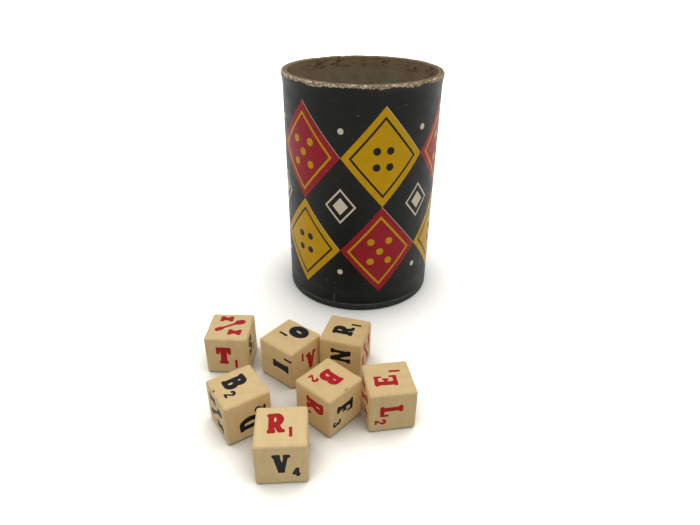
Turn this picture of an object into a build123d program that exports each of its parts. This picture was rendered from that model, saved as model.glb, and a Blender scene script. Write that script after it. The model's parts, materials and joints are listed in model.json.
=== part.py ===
import os
from math import cos, degrees, radians, sin, sqrt

from build123d import *

# A letter-dice word game: a paperboard shaking cup and the seven dice tipped out in front of it.
# Millimetres and degrees, +Z up. The origin is on the cup's axis, on the surface that it stands on.

# Driving dimensions of the cup
cup_height = 97.2  # surface to rim
bore_radius = 30.7  # inside of the tube
board = 1.6  # wall of the wound paperboard tube
paper = 0.25  # printed wrap and edging paper
glue_line = 0.05  # paste between a paper and the board under it
rim_flat = 0.6  # width left flat on top of the rim, between its worn-off edges

# Driving dimensions of the base
disc_thickness = 2.0  # chipboard disc glued under the tube
disc_bevel = 0.5  # crushed lower edge of the disc
band_height = 3.3  # edging paper that covers the joint of tube and disc
band_turn_in = 3.0  # edging paper folded flat under the disc

# Driving dimensions of the printed wrap
worn_edge = 1.4  # bare board between the rim and the wrap's worn top edge
bare_gap = 0.3  # bare board between the wrap and the edging paper
lap_length = 9.0  # paper that overlaps at the seam
lap_ramp = 2.5  # length in which the upper ply climbs onto the lower one
seam_bearing = 90.0  # direction of the seam, at the back of the cup

# Driving dimensions of the dice
die_side = 15.9
die_edge_round = 0.8

# Each die's place: die widths across from the cup's axis, die widths ahead of its wall, and its turn
dice_places = [
    ("die_back_left", -3.08, 2.13, -1.0),
    ("die_back_middle", -1.62, 2.47, 52.5),
    ("die_back_right", -0.34, 2.20, -15.5),
    ("die_left", -2.52, 4.12, 34.0),
    ("die_front", -1.51, 5.16, 4.0),
    ("die_middle", -0.67, 3.88, 48.5),
    ("die_right", 0.58, 3.83, 9.5),
]

# Values that follow from the dimensions above
tube_radius = bore_radius + board
wrap_inner_radius = tube_radius + glue_line
cup_radius = wrap_inner_radius + paper
disc_top = paper + disc_thickness
rim_bevel = (board - rim_flat) / 2
fold_bevel = disc_bevel + paper * (2 - sqrt(2))  # keeps the folded paper as thick on the bevel
wrap_bottom = band_height + bare_gap
wrap_top = cup_height - worn_edge

os.makedirs("parts", exist_ok=True)

# Cup tube: the wound wall, open at both ends, with the edges of its rim worn off
with BuildPart() as cup_tube:
    with BuildSketch(Plane.XZ) as tube_wall:
        with Locations((bore_radius, disc_top)):
            Rectangle(board, cup_height - disc_top, align=(Align.MIN, Align.MIN))
        chamfer(tube_wall.vertices().group_by(Axis.Y)[-1], rim_bevel)
    revolve(axis=Axis.Z)
cup_tube.part.label = "cup_tube"
export_step(cup_tube.part, "parts/cup_tube.step")

# Base disc: closes the foot of the tube, as wide as the tube, with its lower edge crushed to a bevel
with BuildPart() as base_disc:
    with BuildSketch(Plane.XY.offset(paper)):
        Circle(tube_radius)
    extrude(amount=disc_thickness)
    chamfer(base_disc.edges().group_by(Axis.Z)[0], disc_bevel)
base_disc.part.label = "base_disc"
export_step(base_disc.part, "parts/base_disc.step")

# Base band: edging paper round the joint of tube and disc, folded under so that the cup stands on it
with BuildPart() as base_band:
    with BuildSketch(Plane.XZ) as band_section:
        with BuildLine():
            Polyline(
                (tube_radius - band_turn_in, 0),
                (cup_radius, 0),
                (cup_radius, band_height),
                (wrap_inner_radius, band_height),
                (wrap_inner_radius, paper),
                (tube_radius - band_turn_in, paper),
                close=True,
            )
        make_face()
        chamfer(band_section.vertices().sort_by_distance((cup_radius, 0))[0], fold_bevel)
        chamfer(band_section.vertices().sort_by_distance((wrap_inner_radius, paper))[0], disc_bevel)
    revolve(axis=Axis.Z)
base_band.part.label = "base_band"
export_step(base_band.part, "parts/base_band.step")


def on_circle(radius, bearing):
    return (radius * cos(radians(bearing)), radius * sin(radians(bearing)))


# Label wrap: one printed sheet round the tube, whose end climbs onto its beginning at the seam
lap_start = seam_bearing - degrees(lap_length / cup_radius) / 2
lap_end = seam_bearing + degrees(lap_length / cup_radius) / 2
ramp_end = lap_start + degrees(lap_ramp / cup_radius)
lap_radius = cup_radius + paper
under_radius = cup_radius - paper / 2

with BuildPart() as label_wrap:
    with BuildSketch(Plane.XY.offset(wrap_bottom)):
        Circle(cup_radius)
        with BuildLine():
            Line(on_circle(under_radius, lap_start), on_circle(cup_radius, lap_start))
            Line(on_circle(cup_radius, lap_start), on_circle(lap_radius, ramp_end))
            ThreePointArc(
                on_circle(lap_radius, ramp_end),
                on_circle(lap_radius, (ramp_end + lap_end) / 2),
                on_circle(lap_radius, lap_end),
            )
            Line(on_circle(lap_radius, lap_end), on_circle(under_radius, lap_end))
            ThreePointArc(
                on_circle(under_radius, lap_end),
                on_circle(under_radius, seam_bearing),
                on_circle(under_radius, lap_start),
            )
        make_face()
        Circle(wrap_inner_radius, mode=Mode.SUBTRACT)
    extrude(amount=wrap_top - wrap_bottom)
label_wrap.part.label = "label_wrap"
export_step(label_wrap.part, "parts/label_wrap.step")

# Letter dice: cubes with rounded edges, lying where they were tipped out
for name, across, ahead, turn in dice_places:
    place = Plane(
        origin=(across * die_side, -cup_radius - ahead * die_side, 0),
        x_dir=(cos(radians(turn)), sin(radians(turn)), 0),
        z_dir=(0, 0, 1),
    )
    with BuildPart(place) as die:
        Box(die_side, die_side, die_side, align=(Align.CENTER, Align.CENTER, Align.MIN))
        fillet(die.edges(), die_edge_round)
    die.part.label = name
    export_step(die.part, f"parts/{name}.step")
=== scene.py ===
import json
import bpy
import numpy as np
from mathutils import Matrix, Vector


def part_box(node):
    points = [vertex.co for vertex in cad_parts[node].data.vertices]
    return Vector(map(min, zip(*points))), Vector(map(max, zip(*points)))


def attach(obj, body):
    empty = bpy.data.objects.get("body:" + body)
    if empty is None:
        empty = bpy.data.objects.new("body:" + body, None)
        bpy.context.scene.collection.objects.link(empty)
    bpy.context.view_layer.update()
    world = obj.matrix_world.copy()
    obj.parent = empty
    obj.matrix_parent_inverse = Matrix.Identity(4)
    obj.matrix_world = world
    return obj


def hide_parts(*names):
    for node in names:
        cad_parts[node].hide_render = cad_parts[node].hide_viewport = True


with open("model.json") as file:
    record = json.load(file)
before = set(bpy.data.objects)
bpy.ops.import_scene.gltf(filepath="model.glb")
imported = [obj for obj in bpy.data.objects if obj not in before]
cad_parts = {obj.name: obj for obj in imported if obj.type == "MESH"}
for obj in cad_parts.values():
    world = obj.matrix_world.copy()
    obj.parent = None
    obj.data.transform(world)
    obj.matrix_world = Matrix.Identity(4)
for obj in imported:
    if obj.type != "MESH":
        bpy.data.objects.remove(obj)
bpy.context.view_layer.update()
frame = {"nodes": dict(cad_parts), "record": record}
mm = 0.001  # the scene is in metres, sizes below are in millimetres
print("frame loaded:", len(frame["nodes"]), "nodes")


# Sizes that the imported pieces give
def nodeBox(node):
    low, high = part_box(node)
    return np.array(low) / mm, np.array(high) / mm


mouth = next(m for m in frame["record"]["mounts"] if m["name"] == "cup_mouth")
tubeLow, tubeHigh = nodeBox("cup_tube")
wrapLow, wrapHigh = nodeBox("label_wrap")
bandHigh = nodeBox("base_band")[1]
cup = {
    "bore": mouth["dims"]["r_mm"],
    "skin": bandHigh[0],  # outside of the papers
    "foot": tubeLow[2],
    "rim": tubeHigh[2],
    "paper": 0.25,
    "glue": 0.05,  # paste between a paper and the board
}
cup["tube"] = cup["skin"] - cup["paper"] - cup["glue"]  # outside of the board


# Value noise on a lattice: hashed corner values, blended with a smooth fade, from -1 to 1
def latticeNoise(points, cell, seed):
    grid = np.asarray(points, float) / cell + 1000.0
    base = np.floor(grid).astype(np.int64)
    part = grid - base
    fade = part * part * (3 - 2 * part)
    total = np.zeros(grid.shape[:-1])
    for corner in range(8):
        step = np.array([corner & 1, corner >> 1 & 1, corner >> 2 & 1])
        key = ((base + step) * np.array([374761393, 668265263, 1442695041])).sum(-1) + seed * 974634533
        key = (key ^ key >> 13) * 1274126177 & 0xFFFFFFFF
        value = ((key ^ key >> 16) & 0xFFFF) / 32767.5 - 1
        total += value * np.where(step == 1, fade, 1 - fade).prod(-1)
    return total


# Several octaves of the noise, each half as large and half as strong
def roughNoise(points, cell, seed, octaves=3):
    return sum(latticeNoise(points, cell / 2**k, seed + k) / 2**k for k in range(octaves))


# Zero below low, one above high, smooth between
def smoothStep(value, low, high):
    share = np.clip((value - low) / (high - low), 0, 1)
    return share * share * (3 - 2 * share)


# Quads between the rows and columns of a grid of points, closed in either direction if asked
def gridQuads(rows, columns, closeRows, closeColumns):
    i = np.arange(rows if closeRows else rows - 1)[:, None]
    j = np.arange(columns if closeColumns else columns - 1)[None, :]
    k, l = (i + 1) % rows, (j + 1) % columns
    corners = [i * columns + j, i * columns + l, k * columns + l, k * columns + j]
    return np.stack(np.broadcast_arrays(*corners), -1).reshape(-1, 4)


# A mesh object from points in millimetres and quads, facing outwards, with values stored on its points
def meshPiece(name, points, quads, values, material):
    a, b, c, d = (points[quads[:, k]] for k in range(4))
    if np.einsum("ij,ij->", a, np.cross(b, c)) + np.einsum("ij,ij->", a, np.cross(c, d)) < 0:
        quads = quads[:, ::-1]
    mesh = bpy.data.meshes.new(name)
    mesh.vertices.add(len(points))
    mesh.vertices.foreach_set("co", (points * mm).astype(np.float32).ravel())
    mesh.loops.add(quads.size)
    mesh.loops.foreach_set("vertex_index", np.ascontiguousarray(quads, np.int32).ravel())
    mesh.polygons.add(len(quads))
    mesh.polygons.foreach_set("loop_start", np.arange(0, quads.size, 4, dtype=np.int32))
    mesh.polygons.foreach_set("use_smooth", np.ones(len(quads), bool))
    mesh.update(calc_edges=True)
    for key, value in values.items():
        flat = value.ndim == 1
        attribute = mesh.attributes.new(key, "FLOAT" if flat else "FLOAT_VECTOR", "POINT")
        attribute.data.foreach_set("value" if flat else "vector", value.astype(np.float32).ravel())
    mesh.materials.append(material)
    piece = bpy.data.objects.new(name, mesh)
    bpy.context.scene.collection.objects.link(piece)
    return piece


# The piece moves with a body and stands for a CAD node, which is hidden
def seatPiece(piece, body, node):
    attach(piece, body)
    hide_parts(node)
    print("made", piece.name, len(piece.data.polygons), "faces")


# A colour written as 0 to 255 on screen, as light
def ink(red, green, blue):
    screen = np.array([red, green, blue]) / 255
    light = np.where(screen <= 0.04045, screen / 12.92, ((screen + 0.055) / 1.055) ** 2.4)
    return (*light.tolist(), 1.0)


# A shader value that can be written as arithmetic: each operation becomes one Math node
class Wire:
    def __init__(self, tree, socket):
        self.tree = tree
        self.socket = socket

    def calc(self, operation, *others):
        node = self.tree.nodes.new("ShaderNodeMath")
        node.operation = operation
        for socket, value in zip(node.inputs, (self, *others)):
            plug(self.tree, socket, value)
        return Wire(self.tree, node.outputs[0])

    def __add__(self, other):
        return self.calc("ADD", other)

    def __sub__(self, other):
        return self.calc("SUBTRACT", other)

    def __mul__(self, other):
        return self.calc("MULTIPLY", other)

    def __truediv__(self, other):
        return self.calc("DIVIDE", other)

    def __abs__(self):
        return self.calc("ABSOLUTE")

    def floor(self):
        return self.calc("FLOOR")

    def part(self):
        return self.calc("FRACT")

    def root(self):
        return self.calc("SQRT")

    def least(self, other):
        return self.calc("MINIMUM", other)

    def most(self, other):
        return self.calc("MAXIMUM", other)

    def flip(self):
        return self * -1.0 + 1.0

    # smooth step from low to high
    def ramp(self, low, high):
        node = self.tree.nodes.new("ShaderNodeMapRange")
        node.interpolation_type = "SMOOTHSTEP"
        for socket, value in zip(node.inputs, (self, low, high, 0.0, 1.0)):
            plug(self.tree, socket, value)
        return Wire(self.tree, node.outputs[0])


def plug(tree, socket, value):
    if isinstance(value, Wire):
        tree.links.new(value.socket, socket)
    else:
        socket.default_value = value


# A texture or other node, with its inputs by name, giving one output
def nodeOf(tree, kind, output=0, settings=None, **inputs):
    node = tree.nodes.new(kind)
    for key, value in (settings or {}).items():
        setattr(node, key, value)
    for key, value in inputs.items():
        plug(tree, node.inputs[key], value)
    return Wire(tree, node.outputs[output])


def noiseOf(tree, vector, scale, detail=2.0, roughness=0.5):
    inputs = {"Vector": vector, "Scale": scale, "Detail": detail, "Roughness": roughness}
    return nodeOf(tree, "ShaderNodeTexNoise", **inputs)


def stretched(tree, vector, scale, turn=(0.0, 0.0, 0.0)):
    return nodeOf(tree, "ShaderNodeMapping", Vector=vector, Scale=scale, Rotation=turn)


def blend(tree, share, first, second):
    node = tree.nodes.new("ShaderNodeMix")
    node.data_type = "RGBA"
    plug(tree, node.inputs[0], share)
    plug(tree, node.inputs[6], first)
    plug(tree, node.inputs[7], second)
    return Wire(tree, node.outputs[2])


def axesOf(tree, vector):
    node = tree.nodes.new("ShaderNodeSeparateXYZ")
    plug(tree, node.inputs[0], vector)
    return [Wire(tree, output) for output in node.outputs]


def objectPoint(tree):
    return nodeOf(tree, "ShaderNodeTexCoord", output="Object")


def stored(tree, name, output="Vector"):
    return nodeOf(tree, "ShaderNodeAttribute", output=output, settings={"attribute_name": name})


# A node group with named inputs and outputs, filled by build(tree, inputs) which returns the outputs
def makeGroup(name, inputs, outputs, build):
    tree = bpy.data.node_groups.new(name, "ShaderNodeTree")
    for key, kind in inputs.items():
        tree.interface.new_socket(key, in_out="INPUT", socket_type=kind)
    for key in outputs:
        tree.interface.new_socket(key, in_out="OUTPUT", socket_type="NodeSocketFloat")
    source = tree.nodes.new("NodeGroupInput")
    sink = tree.nodes.new("NodeGroupOutput")
    made = build(tree, {key: Wire(tree, source.outputs[key]) for key in inputs})
    for key in outputs:
        plug(tree, sink.inputs[key], made[key])
    return tree


def useGroup(tree, group, **inputs):
    node = tree.nodes.new("ShaderNodeGroup")
    node.node_tree = group
    for key, value in inputs.items():
        plug(tree, node.inputs[key], value)
    return {output.name: Wire(tree, output) for output in node.outputs}


# A new material: look(tree) returns the links and values of its Principled BSDF and its bump
def makeMaterial(name, look):
    material = bpy.data.materials.new(name)
    material.use_nodes = True
    tree = material.node_tree
    shader = tree.nodes["Principled BSDF"]
    links, height, depth = look(tree)
    for key, value in links.items():
        plug(tree, shader.inputs[key], value)
    bump = nodeOf(tree, "ShaderNodeBump", Height=height, Distance=depth)
    plug(tree, shader.inputs["Normal"], bump)
    return material


# Felted paper: short crossing fibres and a soft cloudy mottle
def buildFibres(tree, given):
    point = given["Vector"]
    size = given["Size"]
    along = noiseOf(tree, stretched(tree, point, (900.0, 900.0, 150.0)), size, 2.0, 0.6)
    across = noiseOf(tree, stretched(tree, point, (300.0, 300.0, 1400.0), (0.3, 0.2, 0.5)), size, 2.0, 0.6)
    cloud = noiseOf(tree, point, size * 180.0, 3.0, 0.6)
    fleck = noiseOf(tree, point, size * 1500.0, 1.0, 0.5)
    height = (along + across) * 0.5
    return {"Height": height, "Cloud": cloud.ramp(0.3, 0.7), "Fleck": fleck.ramp(0.62, 0.72)}


# Rubbed print: pin-prick specks and hairline scratches, more of both where the amount is high
def buildScuffs(tree, given):
    point = given["Vector"]
    amount = given["Amount"]
    speck = noiseOf(tree, point, 900.0, 2.0, 0.7)
    patch = noiseOf(tree, point, 70.0, 2.0, 0.5).ramp(0.35, 0.75)
    hair = noiseOf(tree, stretched(tree, point, (1500.0, 1500.0, 60.0), (0.5, 0.25, 0.0)), 1.0, 1.0, 0.4)
    cross = noiseOf(tree, stretched(tree, point, (140.0, 140.0, 1900.0), (0.2, -0.3, 0.0)), 1.0, 1.0, 0.4)
    level = amount * patch
    spot = (speck + level * 0.16).ramp(0.73, 0.77)
    line = (hair.most(cross) + level * 0.06).ramp(0.76, 0.8)
    return {"Specks": spot, "Scratches": line * patch, "Patch": patch}


fibres = makeGroup(
    "paperFibres",
    {"Vector": "NodeSocketVector", "Size": "NodeSocketFloat"},
    ["Height", "Cloud", "Fleck"],
    buildFibres,
)
scuffs = makeGroup(
    "rubbedPrint",
    {"Vector": "NodeSocketVector", "Amount": "NodeSocketFloat"},
    ["Specks", "Scratches", "Patch"],
    buildScuffs,
)
print("shared finishes built")


# The cup is a little out of round towards its rim
def outOfRound(angle, height):
    return height / cup["rim"] * (0.16 * np.sin(2 * angle + 0.6) + 0.08 * np.sin(3 * angle - 1.1))


# Points on true circles round the axis, where noise closes round the cup
def ringSpot(angle, radius, height):
    return np.stack(np.broadcast_arrays(radius * np.cos(angle), radius * np.sin(angle), height), -1)


# Points on the cup, from radii and heights given on a grid of profile point and angle
def roundPoints(radius, height, angle):
    return ringSpot(angle, radius + outOfRound(angle, height), height)


# The rim is frayed outwards a little, most at its top edge
def rimFlare(height):
    return tube["flare"] * smoothStep(height, cup["rim"] - tube["flareDepth"], cup["rim"])


# Cup tube: a closed wall profile carried round the axis, its rim frayed by noise
tube = {
    "steps": 1080,
    "rows": 29,  # up each side of the wall
    "lip": 0.5,
    "nick": 0.3,
    "fuzz": 0.14,
    "fray": (1.3, 0.3),  # below the rim, where fraying starts and where it is full
    "flare": 0.55,
    "flareDepth": 5.5,
}


def lookBoard(tree):
    point = objectPoint(tree)
    x, y, z = axesOf(tree, point)
    radius = (x * x + y * y).root() * (1 / mm)
    height = z * (1 / mm)
    felt = useGroup(tree, fibres, Vector=point, Size=1.0)
    # inside: brown-grey board with level blots of soil in a broken ring under the rim
    wall = blend(tree, felt["Cloud"], ink(150, 136, 112), ink(132, 117, 94))
    wall = blend(tree, height.ramp(cup["rim"] - 12, cup["rim"] - 1) * 0.6, wall, ink(136, 112, 82))
    level = stretched(tree, point, (1.0, 1.0, 3.2))
    blot = noiseOf(tree, level, 240.0, 5.0, 0.75).ramp(0.48, 0.6)
    blot = blot * noiseOf(tree, point, 50.0).ramp(0.3, 0.48)
    soil = blot * height.ramp(cup["rim"] - 6.2, cup["rim"] - 3.4)
    soil = soil * height.ramp(cup["rim"] - 0.2, cup["rim"] - 1.4)
    wall = blend(tree, soil * 0.85, wall, ink(86, 47, 28))
    wall = blend(tree, felt["Fleck"] * 0.3, wall, ink(166, 150, 124))
    # rim: tan on top, its outer edge mixed of fibres rubbed pale and darker flecks
    pale = noiseOf(tree, point, 1000.0, 3.0, 0.75).ramp(0.47, 0.56)
    darkFleck = noiseOf(tree, point, 900.0, 3.0, 0.75).ramp(0.52, 0.6)
    rim = blend(tree, felt["Cloud"], ink(134, 112, 84), ink(110, 90, 65))
    crest = (radius + felt["Cloud"] * 0.3).ramp(cup["bore"] + 0.75, cup["bore"] + 1.3)
    colour = blend(tree, crest, wall, rim)
    outer = (radius + felt["Cloud"] * 0.3).ramp(cup["bore"] + 1.85, cup["bore"] + 2.2)
    colour = blend(tree, outer, colour, blend(tree, pale, ink(158, 135, 103), ink(240, 226, 198)))
    colour = blend(tree, outer * darkFleck * 0.45, colour, ink(76, 60, 46))
    return {"Base Color": colour, "Roughness": 0.92, "Specular IOR Level": 0.2}, felt["Height"], 0.00025


def makeTube():
    angle = np.linspace(0, 2 * np.pi, tube["steps"], endpoint=False)[None, :]
    board = cup["tube"] - cup["bore"]
    lip = np.linspace(np.pi, 0, 17)  # over the rim, as a flattened arch
    archR = cup["bore"] + board / 2 + board / 2 * np.sign(np.cos(lip)) * np.abs(np.cos(lip)) ** 0.7
    archZ = cup["rim"] - tube["lip"] + tube["lip"] * np.sin(lip) ** 0.8
    rows = tube["rows"]
    climb = 1 - (1 - np.linspace(0, 1, rows, endpoint=False)) ** 1.8  # rows crowd towards the rim
    rise = cup["foot"] + (cup["rim"] - tube["lip"] - cup["foot"]) * climb
    radius = np.concatenate([np.full(rows, cup["bore"]), archR, np.full(rows, cup["tube"])])[:, None]
    height = np.concatenate([rise, archZ, rise[::-1]])[:, None]
    share = (radius - cup["bore"]) / board  # 0 inside, 1 outside
    radius = radius + share * rimFlare(height)
    near = smoothStep(height, cup["rim"] - tube["fray"][0], cup["rim"] - tube["fray"][1])
    fuzz = roughNoise(ringSpot(angle, radius, height), 0.8, 11, 3)
    nick = np.clip(roughNoise(ringSpot(angle, cup["tube"], 0.0 * angle), 2.2, 5, 4) - 0.1, 0, 1)
    worn = tube["nick"] * nick * (0.4 + 0.6 * share) + tube["fuzz"] * np.clip(fuzz, -0.3, 1)
    height = height - near * worn
    radius = radius + near * tube["fuzz"] * fuzz * share
    points = roundPoints(radius, height, angle).reshape(-1, 3)
    quads = gridQuads(len(radius), tube["steps"], True, True)
    piece = meshPiece("cup_wall", points, quads, {}, makeMaterial("bareBoard", lookBoard))
    seatPiece(piece, "cup", "cup_tube")


makeTube()


# Printed wrap: a thin sheet rolled round the tube, its top edge torn by noise, its end lapped at the back
wrap = {
    "steps": 1500,
    "rows": 26,
    "seam": np.pi / 2,
    "lap": 9.0,
    "ramp": 2.5,
    "low": wrapLow[2],
    "high": wrapHigh[2],
    "curl": 0.1,
    "buckle": 0.035,
    "raise": 0.5,
    "tear": 0.26,
    "bite": 0.4,
}
harlequin = {
    "columns": 6,
    "rowHeight": 40.0,
    "shift": 4.0,
    "trap": 0.15,
    "slip": (0.28, 0.2),  # the colour plates sit this far out of register
    "soft": 0.12,  # width of a printed edge
    "line": 2.9,  # line border, in from a lozenge's edge
    "lineHalf": 0.5,
    "dot": 1.6,  # radius of the dots on a lozenge
    "fives": (3.9, 4.6),  # the outer four of five dots, from the middle
    "fours": (2.7, 3.2),
    "jewel": 2.5,  # small open lozenge on the black, and the line round it
    "jewelLine": 4.6,
    "jewelHalf": 0.42,
    "bead": 1.25,  # radius of the open dots on the black
    "beadAt": 0.76,  # their place, of a row
    "black": ink(16, 17, 14),
    "red": ink(158, 34, 44),
    "yellow": ink(208, 160, 8),
    "paper": ink(222, 209, 184),
}
wear = {"rubAt": 146.0, "rubLow": 8.0, "rubHigh": 36.0, "creaseAt": 95.8, "creaseTop": 5.4}


def lookPrint(tree):
    point = objectPoint(tree)
    # millimetres along the sheet, up it, and below its torn edge
    across, up, below = axesOf(tree, stored(tree, "sheet"))
    wide = 2 * np.pi * cup["skin"] / harlequin["columns"]
    tall = harlequin["rowHeight"]
    middle = (wrap["high"] - wrap["low"]) / 2
    slant = 1 / np.hypot(2 / wide, 2 / tall)

    # column and row of the lozenge under a point, the point's place in it, and how deep inside it lies
    def lozenge(dx, dy):
        column = (across + (harlequin["shift"] + dx)) / wide
        row = (up - (middle - dy)) / tall
        left = (column.part() - 0.5) * wide
        rise = (row.part() - 0.5) * tall
        depth = (abs(left) * (2 / wide) + abs(rise) * (2 / tall)).flip() * slant
        return column, row, left, rise, depth

    # distance to the nearest of four spots, or of one where both reaches are zero
    def spots(left, rise, dx, dy):
        flatX = abs(left) - dx
        flatY = abs(rise) - dy
        return (flatX * flatX + flatY * flatY).root()

    # one where a distance is within a reach, with a soft edge
    def within(distance, reach):
        return distance.ramp(reach, reach - harlequin["soft"])

    # black plate: everything outside the lozenges, and the line work on the yellow ones
    column, row, left, rise, depth = lozenge(0.0, 0.0)
    window = depth.ramp(-0.06, 0.06) * abs(row).ramp(1.0005, 0.9995)
    # colour plates: red and yellow lozenges in turn, a little out of register
    slipColumn, slipRow, slipLeft, slipRise, slipDepth = lozenge(*harlequin["slip"])
    tint = (slipDepth + harlequin["trap"]).ramp(-0.06, 0.06)
    odd = ((slipColumn.floor() + slipRow.floor()) * 0.5).part().ramp(0.2, 0.3)
    mottle = noiseOf(tree, point, 260.0, 3.0, 0.6).ramp(0.3, 0.75)
    redInk = blend(tree, mottle * 0.4, harlequin["red"], ink(136, 26, 36))
    yellowInk = blend(tree, mottle * 0.4, harlequin["yellow"], ink(188, 138, 6))
    colour = blend(tree, odd, redInk, yellowInk)
    five = spots(slipLeft, slipRise, *harlequin["fives"]).least(spots(slipLeft, slipRise, 0.0, 0.0))
    five = within(five, harlequin["dot"])
    four = within(spots(slipLeft, slipRise, *harlequin["fours"]), harlequin["dot"])
    inset = within(abs(slipDepth - harlequin["line"]), harlequin["lineHalf"])
    colour = blend(tree, five.most(inset) * odd.flip(), colour, yellowInk)
    colour = blend(tree, tint, harlequin["paper"], colour)
    lineWork = within(abs(depth - harlequin["line"]), harlequin["lineHalf"]).most(four) * odd
    colour = blend(tree, lineWork, colour, harlequin["black"])
    # bare paper left open in the black plate: small lozenges and dots
    ground = blend(tree, mottle * 0.5, harlequin["black"], ink(25, 26, 22))
    nearColumn = abs(column - (column + 0.5).floor()) * wide
    nearRow = abs(row) * tall
    jewel = (nearColumn * (2 / wide) + nearRow * (2 / tall)) * slant
    jewelLine = within(abs(jewel - harlequin["jewelLine"]), harlequin["jewelHalf"])
    beadRow = nearRow - harlequin["beadAt"] * tall
    bead = within((nearColumn * nearColumn + beadRow * beadRow).root(), harlequin["bead"])
    opened = within(jewel, harlequin["jewel"]).most(jewelLine).most(bead)
    ground = blend(tree, opened, ground, harlequin["paper"])
    colour = blend(tree, window, ground, colour)
    # wear: specks and hairlines, a rubbed line down one side, a crease at the foot
    # and the pale core of the torn edge
    edge = below.ramp(2.2, 0.1)
    broken = noiseOf(tree, stretched(tree, point, (1.0, 1.0, 0.5)), 420.0, 3.0, 0.7)
    rubbed = abs(across + (broken * 2.0 - wear["rubAt"] - 1.0)).ramp(0.9, 0.2) * broken.ramp(0.46, 0.6)
    rubbed = rubbed * up.ramp(wear["rubLow"], wear["rubLow"] + 4)
    rubbed = rubbed * up.ramp(wear["rubHigh"], wear["rubHigh"] - 6)
    crease = abs(across + (broken * 0.4 - wear["creaseAt"] - 0.2)).ramp(0.42, 0.12)
    crease = crease * up.ramp(wear["creaseTop"], 2.0)
    worn = useGroup(tree, scuffs, Vector=point, Amount=edge * 0.6 + 0.1)
    bare = worn["Specks"].most(worn["Scratches"] * 0.12).most(rubbed * 0.8)
    ragged = noiseOf(tree, point, 640.0, 4.0, 0.75)
    torn = (below - ragged * 2.6).ramp(-1.02, -1.16)
    core = blend(tree, ragged.ramp(0.52, 0.62), ink(180, 157, 124), ink(236, 223, 198))
    felt = useGroup(tree, fibres, Vector=point, Size=1.4)
    colour = blend(tree, bare * 0.8, colour, ink(196, 180, 150))
    colour = blend(tree, crease * 0.6, colour, ink(136, 136, 126))
    colour = blend(tree, worn["Patch"] * edge * 0.4, colour, ink(84, 66, 50))
    colour = blend(tree, torn, colour, core)
    gloss = felt["Cloud"] * 0.1 + bare * 0.3 + torn * 0.4 + 0.4
    height = felt["Height"] * 0.5 + bare.flip() * 0.4
    return {"Base Color": colour, "Roughness": gloss, "Specular IOR Level": 0.135}, height, 0.00009


def makeWrap():
    lapTurn = wrap["lap"] / cup["skin"]
    turn = np.linspace(0, 2 * np.pi + lapTurn, wrap["steps"])[None, :]
    angle = wrap["seam"] - lapTurn / 2 + turn
    spot = ringSpot(angle, cup["skin"], turn * 0.0)
    tear = wrap["tear"] * (0.2 * latticeNoise(spot, 6.0, 21) + 0.8 * roughNoise(spot, 1.2, 22, 4))
    bite = wrap["bite"] * smoothStep(latticeNoise(spot, 2.3, 27), 0.35, 0.8)
    top = wrap["high"] + wrap["raise"] + np.clip(tear - bite, -1.2, 0.6)
    share = 1 - (1 - np.linspace(0, 1, wrap["rows"])) ** 2.2  # rows crowd towards the torn edge
    height = wrap["low"] + (top - wrap["low"]) * share[:, None]
    below = top - height
    lift = cup["paper"] * smoothStep(turn, 2 * np.pi - wrap["ramp"] / cup["skin"], 2 * np.pi)
    buckle = latticeNoise(ringSpot(angle, cup["skin"], height), 14.0, 31)
    lift = lift + rimFlare(height) + wrap["buckle"] * buckle
    curl = wrap["curl"] * smoothStep(below, 1.2, 0.0) * (0.6 + 0.8 * latticeNoise(spot, 2.4, 33))
    outer = cup["skin"] + lift + curl
    inner = cup["skin"] - cup["paper"] + lift + curl * 0.8
    loopR = np.concatenate([outer, inner[::-1]])
    loopZ = np.concatenate([height, height[::-1]])
    points = roundPoints(loopR, loopZ, np.broadcast_to(angle, loopR.shape)).reshape(-1, 3)
    sheet = [turn * cup["skin"], loopZ - wrap["low"], np.concatenate([below, below[::-1]])]
    sheet = np.stack(np.broadcast_arrays(*sheet), -1).reshape(-1, 3)
    count = 2 * wrap["rows"]
    row = np.arange(wrap["rows"] - 1)
    loop = np.stack([row, row + 1, count - 2 - row, count - 1 - row], -1) * wrap["steps"]
    ends = [loop[:, ::-1], loop + wrap["steps"] - 1]  # the sheet's two cut ends
    quads = np.concatenate([gridQuads(count, wrap["steps"], True, False), *ends])
    material = makeMaterial("printedPaper", lookPrint)
    piece = meshPiece("printed_wrap", points, quads, {"sheet": sheet}, material)
    seatPiece(piece, "cup", "label_wrap")


makeWrap()


# Edging band: a folded strip's section carried round the foot of the cup
band = {"steps": 720, "turnIn": 3.0, "hemFlat": 1.2, "bevel": 0.62, "fray": 0.1, "buckle": 0.03}


def lookEdging(tree):
    point = objectPoint(tree)
    height = axesOf(tree, point)[2] * (1 / mm)
    felt = useGroup(tree, fibres, Vector=point, Size=1.2)
    edge = height.ramp(bandHigh[2] - 0.9, bandHigh[2] - 0.3).most(height.ramp(0.8, 0.15) * 0.4)
    worn = useGroup(tree, scuffs, Vector=point, Amount=edge * 0.4 + 0.1)
    colour = blend(tree, felt["Cloud"] * 0.6, ink(30, 32, 29), ink(42, 44, 40))
    # painted highlight: a pale grey line, broken by noise, along the band's top edge and more faintly along
    # its foot
    edgeHighlight = edge * noiseOf(tree, point, 240.0, 3.0, 0.7).ramp(0.2, 0.7)
    colour = blend(tree, edgeHighlight * 0.55, colour, ink(112, 113, 105))
    bare = worn["Specks"].most(worn["Scratches"] * 0.4)
    colour = blend(tree, bare * 0.6, colour, ink(160, 148, 124))
    gloss = felt["Cloud"] * 0.1 + edgeHighlight * 0.3 + 0.45
    return {"Base Color": colour, "Roughness": gloss, "Specular IOR Level": 0.25}, felt["Height"], 0.00009


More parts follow.
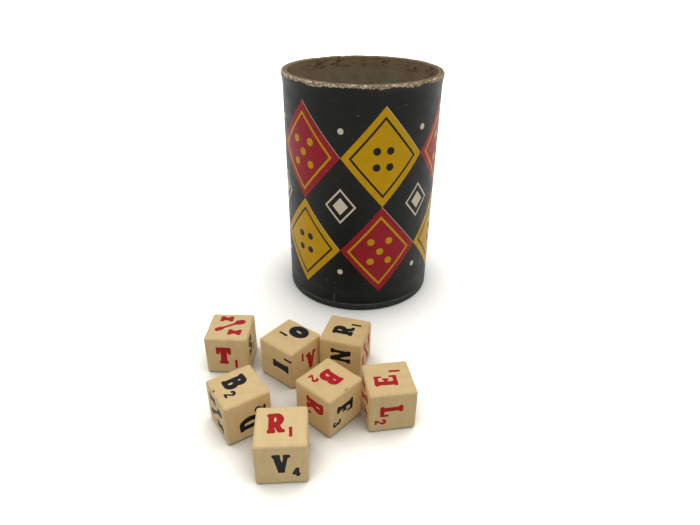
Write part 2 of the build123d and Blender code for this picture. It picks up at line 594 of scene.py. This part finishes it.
def makeBand():
    angle = np.linspace(0, 2 * np.pi, band["steps"], endpoint=False)[None, :]
    skin, inner, paper = cup["skin"], cup["tube"] + cup["glue"], cup["paper"]
    fold = np.linspace(-np.pi / 2, 0, 9)
    wall = np.linspace(band["bevel"], bandHigh[2], 8)[1:]
    hem = cup["tube"] - band["turnIn"]
    flat = hem + band["hemFlat"]
    loopR = [[hem, flat], skin - band["bevel"] + band["bevel"] * np.cos(fold), np.full_like(wall, skin)]
    loopZ = [[0.0, 0.0], band["bevel"] + band["bevel"] * np.sin(fold), wall]
    innerFold = band["bevel"] - paper * 0.6
    loopR += [np.full_like(wall, inner), inner - innerFold + innerFold * np.cos(fold[::-1]), [flat, hem]]
    loopZ += [np.maximum(wall[::-1], paper + innerFold), paper + innerFold + innerFold * np.sin(fold[::-1])]
    loopZ += [[paper, paper]]
    radius = np.concatenate(loopR)[:, None]
    height = np.concatenate(loopZ)[:, None]
    top = smoothStep(height, bandHigh[2] - 0.6, bandHigh[2])
    ruffle = roughNoise(ringSpot(angle, skin, 0.0 * angle), 1.7, 41, 3)
    height = height + top * band["fray"] * (ruffle - 0.3)
    side = smoothStep(height, 0.3, 2.0)
    radius = radius + side * band["buckle"] * latticeNoise(ringSpot(angle, skin, height), 9.0, 43)
    points = roundPoints(radius, height, angle).reshape(-1, 3)
    quads = gridQuads(len(radius), band["steps"], True, True)
    piece = meshPiece("edging_band", points, quads, {}, makeMaterial("edgingPaper", lookEdging))
    seatPiece(piece, "cup", "base_band")


makeBand()


# Base disc: the CAD node stays, with a chipboard finish
def lookChipboard(tree):
    point = objectPoint(tree)
    felt = useGroup(tree, fibres, Vector=point, Size=0.8)
    colour = blend(tree, felt["Cloud"], ink(140, 124, 101), ink(116, 100, 80))
    chip = nodeOf(tree, "ShaderNodeTexVoronoi", Vector=point, Scale=700.0).ramp(0.28, 0.1)
    colour = blend(tree, chip * 0.5, colour, ink(166, 150, 124))
    soil = noiseOf(tree, point, 60.0, 3.0, 0.6).ramp(0.5, 0.7)
    colour = blend(tree, soil * 0.4, colour, ink(84, 66, 48))
    return {"Base Color": colour, "Roughness": 0.93, "Specular IOR Level": 0.25}, felt["Height"], 0.0002


disc = frame["nodes"]["base_disc"]
disc.data.materials.clear()
disc.data.materials.append(makeMaterial("chipboard", lookChipboard))
print("base disc finished")


# Slab letters, drawn as bars and arcs one capital high, with x from the letter's middle
letterStyle = {"stem": 0.118, "thin": 0.085, "slab": 0.085, "tick": 0.06, "round": 0.05, "blot": 0.018}
stemHalf, thinHalf, slabHalf = letterStyle["stem"], letterStyle["thin"], letterStyle["slab"]
headLine, footLine = 1 - thinHalf, thinHalf


# A square-ended stroke: its two ends, half its width, and whether it is round
def bar(x0, y0, x1, y1, half=stemHalf):
    return [(x0, y0, x1, y1, half, 0)]


# A short level slab at the head or at the foot
def cap(left, right):
    return bar(left, 1 - slabHalf, right, 1 - slabHalf, slabHalf)


def foot(left, right):
    return bar(left, slabHalf, right, slabHalf, slabHalf)


def stem(x, reach=0.19, half=stemHalf):
    return bar(x, 0, x, 1, half) + cap(x - reach, x + reach) + foot(x - reach, x + reach)


def arm(left, right, level, half=thinHalf):
    return bar(left, level, right, level, half)


def tick(x, low, high):
    return bar(x, low, x, high, letterStyle["tick"])


# An upright slab across the end of a level stroke
def serif(x, level):
    return bar(x, level - 0.18, x, level + 0.18, 0.085)


# A round-ended stroke
def blob(x0, y0, x1, y1, half):
    return [(x0, y0, x1, y1, half, 1)]


# An elliptical stroke from one bearing to another, thick at the sides and thin at the top and bottom
def arc(x, y, wide, high, start, end, thick=stemHalf, thin=thinHalf):
    turn = np.radians(np.linspace(start, end, 25))
    px, py = x + wide * np.cos(turn), y + high * np.sin(turn)
    half = thin + (thick - thin) * np.cos((turn[1:] + turn[:-1]) / 2) ** 2
    return [(*row, 1) for row in zip(px[:-1], py[:-1], px[1:], py[1:], half)]


def bowl(low, high, reach):
    middle = (low + high) / 2
    curve = arc(0.02, middle, reach, (high - low) / 2, -90, 90)
    return arm(-0.17, 0.02, low) + arm(-0.17, 0.02, high) + curve


letters = {
    "A": bar(-0.21, 0, -0.01, 1, 0.075) + bar(0.2, 0, 0, 1, 0.125) + arm(-0.12, 0.12, 0.3, 0.055)
    + foot(-0.34, -0.1) + foot(0.05, 0.36),
    "B": stem(-0.16, 0.17) + bowl(0.53, headLine, 0.16) + bowl(footLine, 0.53, 0.2),
    "C": arc(0.02, 0.5, 0.24, 0.4, 50, 310, 0.12, 0.1) + tick(0.26, 0.64, 1) + tick(0.26, 0, 0.3),
    "D": stem(-0.17, 0.17) + bowl(footLine, headLine, 0.23),
    "E": stem(-0.15, 0.17) + arm(-0.15, 0.28, headLine) + arm(-0.15, 0.3, footLine)
    + arm(-0.15, 0.1, 0.5, 0.07) + tick(0.25, 0.66, 1) + tick(0.27, 0, 0.34) + tick(0.1, 0.35, 0.65),
    "F": stem(-0.13, 0.19) + arm(-0.15, 0.29, headLine) + arm(-0.15, 0.1, 0.48, 0.07) + tick(0.26, 0.64, 1)
    + tick(0.11, 0.32, 0.63),
    "G": arc(-0.02, 0.5, 0.24, 0.4, 50, 330, 0.12, 0.1) + tick(0.22, 0.66, 1)
    + bar(0.2, 0.04, 0.2, 0.42, 0.1) + arm(0.04, 0.36, 0.42, 0.06),
    "H": stem(-0.22, 0.17) + stem(0.22, 0.17) + arm(-0.22, 0.22, 0.5, 0.07),
    "I": stem(0, 0.23, 0.185),
    "K": stem(-0.2, 0.16) + bar(-0.1, 0.42, 0.2, 0.95, 0.08) + bar(-0.02, 0.58, 0.24, 0.05)
    + cap(0.06, 0.36) + foot(0.1, 0.4),
    "L": stem(-0.12, 0.19) + arm(-0.12, 0.26, footLine) + tick(0.23, 0, 0.38),
    "N": bar(-0.24, 0, -0.24, 1, thinHalf) + bar(0.25, 0, 0.25, 1, thinHalf) + bar(-0.22, 0.97, 0.23, 0.03)
    + foot(-0.38, -0.1) + cap(-0.38, -0.2) + cap(0.11, 0.39),
    "O": arc(0, 0.5, 0.245, 0.365, 0, 360, 0.17, 0.15),
    "P": stem(-0.15, 0.19) + bowl(0.45, headLine, 0.19),
    "R": stem(-0.17, 0.17) + bowl(0.46, headLine, 0.17) + bar(0.0, 0.5, 0.2, 0.06) + foot(0.1, 0.37),
    "S": arc(0, 0.72, 0.19, 0.195, 30, 262) + arc(0, 0.29, 0.21, 0.205, 98, -145) + tick(0.22, 0.62, 1)
    + tick(-0.24, 0, 0.4),
    "T": bar(0, 0, 0, 1, 0.155) + foot(-0.23, 0.23) + arm(-0.33, 0.33, 0.89, 0.11)
    + bar(-0.28, 0.58, -0.28, 1, 0.085) + bar(0.28, 0.58, 0.28, 1, 0.085),
    "U": bar(-0.21, 0.32, -0.21, 1) + bar(0.23, 0.32, 0.23, 1, thinHalf)
    + arc(0.01, 0.34, 0.22, 0.245, 180, 360) + cap(-0.38, -0.04) + cap(0.09, 0.38),
    "V": bar(-0.2, 1, 0.0, 0.0, 0.13) + bar(0.2, 1, 0.03, 0.0, 0.085) + cap(-0.36, -0.03) + cap(0.07, 0.36),
    "1": bar(0.02, 0, 0.02, 1, 0.13) + bar(-0.12, 0.84, 0.02, 0.9, 0.08),
    "2": arc(0, 0.7, 0.2, 0.19, 170, -30, 0.1, 0.09) + bar(0.17, 0.6, -0.16, 0.14, 0.09)
    + arm(-0.26, 0.27, 0.1, 0.1),
    "3": arc(-0.02, 0.72, 0.18, 0.18, 160, -90, 0.1, 0.085)
    + arc(-0.02, 0.3, 0.21, 0.2, 90, -160, 0.1, 0.085),
    "4": bar(0.06, 0.94, -0.24, 0.36, 0.1) + arm(-0.33, 0.34, 0.3, 0.1) + bar(0.1, 0, 0.1, 1, 0.12),
    "slash": bar(-0.42, 0.24, 0.34, 0.74, 0.065) + blob(-0.48, 0.2, -0.36, 0.27, 0.12)
    + blob(0.28, 0.72, 0.4, 0.76, 0.16)
    + arm(-0.46, -0.06, 0.94, 0.11) + serif(-0.45, 0.94) + serif(-0.07, 0.94)
    + arm(0.06, 0.46, 0.06, 0.11) + serif(0.07, 0.06) + serif(0.45, 0.06),
}


# How far a point lies outside a letter: the least distance to its bars (boxes) and arc pieces (capsules),
# with corners rounded and joins swollen as stamped ink is
def letterDistance(strokes, x, y):
    total = np.zeros_like(x)
    blot = letterStyle["blot"]
    for x0, y0, x1, y1, half, isRound in strokes:
        length = np.hypot(x1 - x0, y1 - y0)
        ux, uy = (x1 - x0) / length, (y1 - y0) / length
        along = np.abs((x - (x0 + x1) / 2) * ux + (y - (y0 + y1) / 2) * uy)
        across = np.abs((y - (y0 + y1) / 2) * ux - (x - (x0 + x1) / 2) * uy)
        corner = half if isRound else min(letterStyle["round"], half)
        overLong = along - length / 2 + (0 if isRound else corner)
        overWide = across - half + corner
        outside = np.hypot(np.maximum(overLong, 0), np.maximum(overWide, 0)) - corner
        outside = outside + np.minimum(np.maximum(overLong, overWide), 0)
        total = total + np.exp(-np.clip(outside, -1, 3) / blot)
    return -blot * np.log(total + 1e-30)


# Letter dice: one rounded-cube surface each, with stamped marks pressed in and worn edges
die = {
    "cells": 84,
    "crowd": 1.25,  # how far the cells crowd to the edges
    "round": 0.8,
    "letter": 0.475,  # capital height, of the side
    "number": 0.24,
    "mark": 0.57,
    "letterAt": (-0.08, 0.03),  # middle of a letter from the middle of its face, of the side
    "numberAt": (0.275, -0.23),  # middle of a number from the middle of its letter
    "tilt": 1.6,  # degrees that a stamp may stand askew
    "press": 0.12,
    "edgeReach": 1.6,  # wear reaches this far in from an edge
    "dent": 0.16,
    "rub": 0.03,
    "wobble": 0.02,
    "glow": (0.92, 0.7, 0.4, 1.0),  # painted bounce light: the colour the wood shows to its neighbours, brighter and warmer than its own
    "seed": 60,
}
faceAxes = {  # outward, right and up of each face
    "front": ((0, -1, 0), (1, 0, 0), (0, 0, 1)),
    "right": ((1, 0, 0), (0, 1, 0), (0, 0, 1)),
    "back": ((0, 1, 0), (-1, 0, 0), (0, 0, 1)),
    "left": ((-1, 0, 0), (0, -1, 0), (0, 0, 1)),
    "top": ((0, 0, 1), (1, 0, 0), (0, 1, 0)),
    "bottom": ((0, 0, -1), (1, 0, 0), (0, -1, 0)),
}
# Each die's turn on the table, its tone, and any chips: place, reach, depth and stain
# Each face's letter, number, ink (0 black, 1 red), quarter turns and, where it shows, the letter's place
dice = {
    "die_back_left": {
        "turn": -1.0,
        "tone": 0.25,
        "marks": {
            "top": ("slash", "", 1, 0, 0.02, 0.04),
            "front": ("T", "1", 1, 0, -0.075, 0.015),
            "right": ("S", "1", 0, 0, -0.2, 0.12),
            "back": ("G", "2", 0, 2),
            "left": ("H", "3", 1, 1),
            "bottom": ("C", "2", 0, 0),
        },
    },
    "die_back_middle": {
        "turn": 52.5,
        "tone": 0.7,
        "marks": {
            "top": ("O", "1", 0, 2, -0.24, 0.05),
            "left": ("I", "1", 0, 1, 0.02, -0.15),
            "front": ("A", "1", 1, 2, -0.15, 0.03),
            "right": ("slash", "", 1, 0),
            "back": ("P", "2", 0, 3),
            "bottom": ("U", "1", 0, 1),
        },
    },
    "die_back_right": {
        "turn": -15.5,
        "tone": 0.95,
        "marks": {
            "top": ("R", "1", 0, 1, -0.04, 0.04),
            "front": ("N", "1", 0, 3, -0.11, 0.015),
            "right": ("slash", "", 1, 1, 0.0, 0.0),
            "back": ("K", "4", 1, 0),
            "left": ("E", "1", 0, 2),
            "bottom": ("T", "1", 1, 0),
        },
    },
    "die_left": {
        "turn": 34.0,
        "tone": 0.4,
        "marks": {
            "top": ("B", "2", 0, 3, -0.137, 0.004),
            "front": ("D", "2", 0, 1, -0.12, -0.02),
            "left": ("slash", "", 0, 0, 0.0, 0.02),
            "right": ("O", "1", 1, 0),
            "back": ("S", "1", 1, 2),
            "bottom": ("L", "2", 0, 0),
        },
        "chips": [(-0.47, 0.12, 0.5, 0.045, 0.25, 1.0)],
    },
    "die_front": {
        "turn": 4.0,
        "tone": 0.0,
        "marks": {
            "top": ("R", "1", 1, 0, -0.1, 0.07),
            "front": ("V", "4", 0, 0, 0.005, 0.045),
            "right": ("E", "1", 0, 1),
            "back": ("A", "1", 0, 3),
            "left": ("slash", "", 1, 0),
            "bottom": ("I", "1", 1, 0),
        },
    },
    "die_middle": {
        "turn": 48.5,
        "tone": 0.6,
        "marks": {
            "top": ("B", "2", 1, 2, -0.063, -0.006),
            "left": ("R", "1", 1, 3, -0.15, 0.07),
            "front": ("F", "3", 0, 3, -0.045, -0.04),
            "right": ("U", "1", 0, 0),
            "back": ("H", "3", 0, 1),
            "bottom": ("N", "1", 1, 0),
        },
        "chips": [(0.02, -0.5, 0.5, 0.075, 0.4, 0.5)],
    },
    "die_right": {
        "turn": 9.5,
        "tone": 0.5,
        "marks": {
            "top": ("E", "1", 1, 1, -0.075, 0.08),
            "front": ("L", "2", 1, 3, -0.05, -0.03),
            "left": ("slash", "", 1, 0, 0.0, 0.02),
            "right": ("P", "2", 0, 0),
            "back": ("O", "1", 0, 2),
            "bottom": ("G", "2", 1, 0),
        },
    },
}


def lookDie(tree):
    grain = stored(tree, "grain")  # millimetres, with the grain along z
    mark = stored(tree, "mark", "Fac")  # millimetres inside the ink
    hue = stored(tree, "hue", "Fac")
    edge = stored(tree, "edge", "Fac")
    bruise = stored(tree, "bruise", "Fac")
    tone = stored(tree, "tone", "Fac")
    # close-grained pale wood: a faint cloud, short faint pores, handling dirt on the edges
    cloud = noiseOf(tree, stretched(tree, grain, (0.3, 0.36, 0.16)), 1.0, 3.0, 0.55).ramp(0.25, 0.75)
    pore = noiseOf(tree, stretched(tree, grain, (3.6, 3.6, 1.0)), 1.0, 3.0, 0.6)
    fine = noiseOf(tree, grain, 3.2, 3.0, 0.65)
    wood = blend(tree, cloud * 0.3 + tone * 0.6, ink(230, 202, 150), ink(204, 172, 119))
    wood = blend(tree, pore.ramp(0.56, 0.76) * 0.12, wood, ink(184, 150, 98))
    wood = blend(tree, fine.ramp(0.56, 0.8) * 0.2, wood, ink(243, 224, 182))
    dirt = edge * noiseOf(tree, grain, 0.9, 4.0, 0.65).ramp(0.42, 0.7)
    wood = blend(tree, dirt * 0.22, wood, ink(172, 134, 84))
    wood = blend(tree, bruise, wood, ink(116, 78, 42))
    # stamped ink: ragged at the rim, thin in places
    blot = noiseOf(tree, grain, 4.0, 3.0, 0.65)
    stamped = (mark + (blot - 0.5) * 0.2).ramp(-0.04, 0.05)
    thin = noiseOf(tree, grain, 2.4, 3.0, 0.7).ramp(0.62, 0.8) * 0.35
    redInk = blend(tree, blot.ramp(0.35, 0.7), ink(182, 29, 36), ink(160, 20, 26))
    blackInk = blend(tree, blot.ramp(0.35, 0.7), ink(24, 28, 30), ink(12, 15, 17))
    colour = blend(tree, stamped * thin.flip(), wood, blend(tree, hue, blackInk, redInk))
    # painted bounce light: to rays from other surfaces the wood shows a brighter, warmer colour than its
    # own, which lightens the shaded sides of the neighbouring dice
    passing = nodeOf(tree, "ShaderNodeLightPath", output="Is Diffuse Ray")
    colour = blend(tree, passing, colour, die["glow"])
    gloss = fine * 0.12 + 0.5
    height = pore * 0.3 + fine * 0.3
    return {"Base Color": colour, "Roughness": gloss, "Specular IOR Level": 0.14}, height, 0.00005


dieMaterial = makeMaterial("stampedWood", lookDie)


# The rounded cube: points of a cube's faces are pulled onto an inner cube grown by the edge round
def makeDie(name, settings, number):
    low, high = nodeBox(name)
    side = high[2] - low[2]
    half = side / 2
    centre = (low + high) / 2
    steps = np.sin(np.linspace(-1, 1, die["cells"] + 1) * die["crowd"]) / np.sin(die["crowd"]) * half
    u, v = np.meshgrid(steps, steps, indexing="ij")
    rng = np.random.default_rng(die["seed"] + number)
    allPoints, allMarks, allHues, allPress = [], [], [], []
    for face, (out, right, up) in faceAxes.items():
        out, right, up = (np.array(axis, float) for axis in (out, right, up))
        raw = half * out + u[..., None] * right + v[..., None] * up
        core = np.clip(raw, die["round"] - half, half - die["round"])
        away = raw - core
        points = core + die["round"] * away / np.linalg.norm(away, axis=-1, keepdims=True)
        letter, value, hue, quarter, *place = settings["marks"][face]
        place = place or (die["letterAt"] if value else (0.0, 0.0))
        tilt = np.radians(90 * quarter + rng.normal(0, die["tilt"]))
        x = (u * np.cos(tilt) + v * np.sin(tilt)) / side - place[0]
        y = (v * np.cos(tilt) - u * np.sin(tilt)) / side - place[1]
        size = die["letter"] if value else die["mark"]
        mark = size * letterDistance(letters[letter], x / size, y / size + 0.5)
        if value:
            size = die["number"]
            x = (x - die["numberAt"][0]) / size
            y = (y - die["numberAt"][1]) / size + 0.5
            mark = np.minimum(mark, size * letterDistance(letters[value], x, y))
        inside = -mark * side
        allPoints.append(points.reshape(-1, 3))
        allMarks.append(np.clip(inside, -2, 2).ravel())
        allHues.append(np.full(inside.size, float(hue)))
        allPress.append((die["press"] * smoothStep(inside, -0.16, 0.14)[..., None] * -out).reshape(-1, 3))
    points, first, index = np.unique(
        np.round(np.concatenate(allPoints), 5), axis=0, return_index=True, return_inverse=True
    )
    index = index.ravel()
    marks, hues, press = (np.concatenate(rows)[first] for rows in (allMarks, allHues, allPress))
    cells = len(steps)
    faceQuads = gridQuads(cells, cells, False, False)
    quads = np.concatenate([index[faceQuads + k * cells * cells] for k in range(len(faceAxes))])
    # wear: edges rubbed down unevenly, small dents, and the chips listed for this die
    inner = half - die["edgeReach"]
    over = np.clip(np.abs(points) - inner, 0, None)
    second = np.sort(over, axis=1)[:, 1]
    edge = smoothStep(second, 0.2, 1.5)
    spot = points + 50.0 * number
    dent = np.clip(roughNoise(spot, 2.6, 71, 3) - 0.35, 0, 1) * edge
    inward = points - np.clip(points, -inner, inner)
    inward = -inward / np.maximum(np.linalg.norm(inward, axis=1, keepdims=True), 1e-6)
    rubbed = die["dent"] * dent + die["rub"] * edge * (1 + roughNoise(spot, 1.1, 75, 2))
    moved = points + press + inward * rubbed[:, None]
    moved += die["wobble"] * np.stack([roughNoise(spot, 3.0, 77 + k, 2) for k in range(3)], -1)
    bruise = np.zeros(len(points))
    for cx, cy, cz, reach, depth, stain in settings.get("chips", []):
        far = np.linalg.norm(points - np.array([cx, cy, cz]) * side, axis=1) / (reach * side)
        bite = smoothStep(far + 0.25 * roughNoise(spot, 0.9, 81, 2), 1.0, 0.35)
        moved = moved + inward * (depth * bite)[:, None]
        bruise = np.maximum(bruise, stain * bite)
    turn = np.radians(settings["turn"])
    spin = np.array([[np.cos(turn), -np.sin(turn), 0], [np.sin(turn), np.cos(turn), 0], [0, 0, 1]])
    moved[:, 2] = np.maximum(moved[:, 2], -half)
    placed = moved @ spin.T + centre
    grainTurn = np.roll(np.eye(3), number % 3, axis=0)
    values = {
        "mark": marks,
        "hue": hues,
        "edge": edge,
        "bruise": bruise,
        "tone": np.full(len(points), settings["tone"]),
        "grain": points @ grainTurn.T + 40.0 * number,
    }
    piece = meshPiece("letter_" + name, placed, quads, values, dieMaterial)
    seatPiece(piece, name, name)


for number, (name, settings) in enumerate(dice.items()):
    makeDie(name, settings, number)


# Table, light and camera
stage = {
    "reach": 6.0,
    "level": -0.03,  # a hair under the feet
    "open": (1.67, 1.67, 1.6, 1.0),  # the table as the camera sees it where nothing stands near
    "nook": (0.02, 0.02, 0.0, 1.0),  # painted shade: the table as the camera sees it where it is wholly hemmed in
    "nookReach": 45.0,
    "bounce": (0.37, 0.38, 0.38, 1.0),  # the table as it lights the cup and the dice
    "sky": 0.7,
    "lamp": 0.95,
    "lampFrom": (0.15, 0.2, 1.0),
    "lampSpread": 70.0,
}


def makeFloor():
    far, level = stage["reach"], stage["level"] * mm
    corners = [(-far, -far, level), (far, -far, level), (far, far, level), (-far, far, level)]
    mesh = bpy.data.meshes.new("table")
    mesh.from_pydata(corners, [], [(0, 1, 2, 3)])
    floor = bpy.data.objects.new("table", mesh)
    bpy.context.scene.collection.objects.link(floor)
    material = bpy.data.materials.new("whiteTable")
    material.use_nodes = True
    tree = material.node_tree
    tree.nodes.clear()
    seen = seenDirectly(tree)
    reach = stage["nookReach"] * mm
    # painted contact shade: ambient occlusion darkens the table's colour near the cup and the dice, with a
    # slightly warm tint
    clear = nodeOf(tree, "ShaderNodeAmbientOcclusion", "AO", {"samples": 16}, Distance=reach)
    shown = blend(tree, clear, stage["nook"], stage["open"])
    matt = nodeOf(tree, "ShaderNodeBsdfDiffuse", Color=blend(tree, seen, stage["bounce"], shown))
    sink = tree.nodes.new("ShaderNodeOutputMaterial")
    plug(tree, sink.inputs["Surface"], matt)
    mesh.materials.append(material)


# One for what the camera sees straight, in a reflection or through glass
def seenDirectly(tree):
    rays = tree.nodes.new("ShaderNodeLightPath")
    kinds = ("Is Camera Ray", "Is Glossy Ray", "Is Transmission Ray")
    straight, mirrored, through = (Wire(tree, rays.outputs[kind]) for kind in kinds)
    return straight.most(mirrored).most(through)


def makeLight():
    world = bpy.data.worlds.new("studio")
    bpy.context.scene.world = world
    world.use_nodes = True
    tree = world.node_tree
    tree.nodes.clear()
    strength = seenDirectly(tree) * (1.0 - stage["sky"]) + stage["sky"]
    sky = nodeOf(tree, "ShaderNodeBackground", Color=(1.0, 1.0, 1.0, 1.0), Strength=strength)
    sink = tree.nodes.new("ShaderNodeOutputWorld")
    plug(tree, sink.inputs["Surface"], sky)
    lamp = bpy.data.lights.new("softbox", "SUN")
    lamp.energy = stage["lamp"]
    lamp.angle = np.radians(stage["lampSpread"])
    box = bpy.data.objects.new("softbox", lamp)
    box.rotation_euler = Vector(stage["lampFrom"]).to_track_quat("Z", "Y").to_euler()
    bpy.context.scene.collection.objects.link(box)


viewpoint = {"spot": (-4.16, -226.63, 136.72), "pitch": 30.02, "roll": 0.76, "lens": 27.31}


def makeCamera():
    camera = bpy.data.cameras.new("camera")
    camera.lens = viewpoint["lens"]
    camera.sensor_width = 36.0
    camera.clip_start = 0.01
    pitch, roll = np.radians(viewpoint["pitch"]), np.radians(viewpoint["roll"])
    ahead = np.array([0, np.cos(pitch), -np.sin(pitch)])
    level = np.array([1.0, 0, 0])
    above = np.cross(level, ahead)
    right = np.cos(roll) * level + np.sin(roll) * above
    up = np.cos(roll) * above - np.sin(roll) * level
    placed = np.eye(4)
    placed[:3] = np.stack([right, up, -ahead, np.array(viewpoint["spot"]) * mm], 1)
    holder = bpy.data.objects.new("camera", camera)
    holder.matrix_world = Matrix(placed.tolist())
    bpy.context.scene.collection.objects.link(holder)
    bpy.context.scene.camera = holder


makeFloor()
makeLight()
makeCamera()
bpy.context.scene.view_settings.view_transform = "Standard"
print("table, light and camera set")
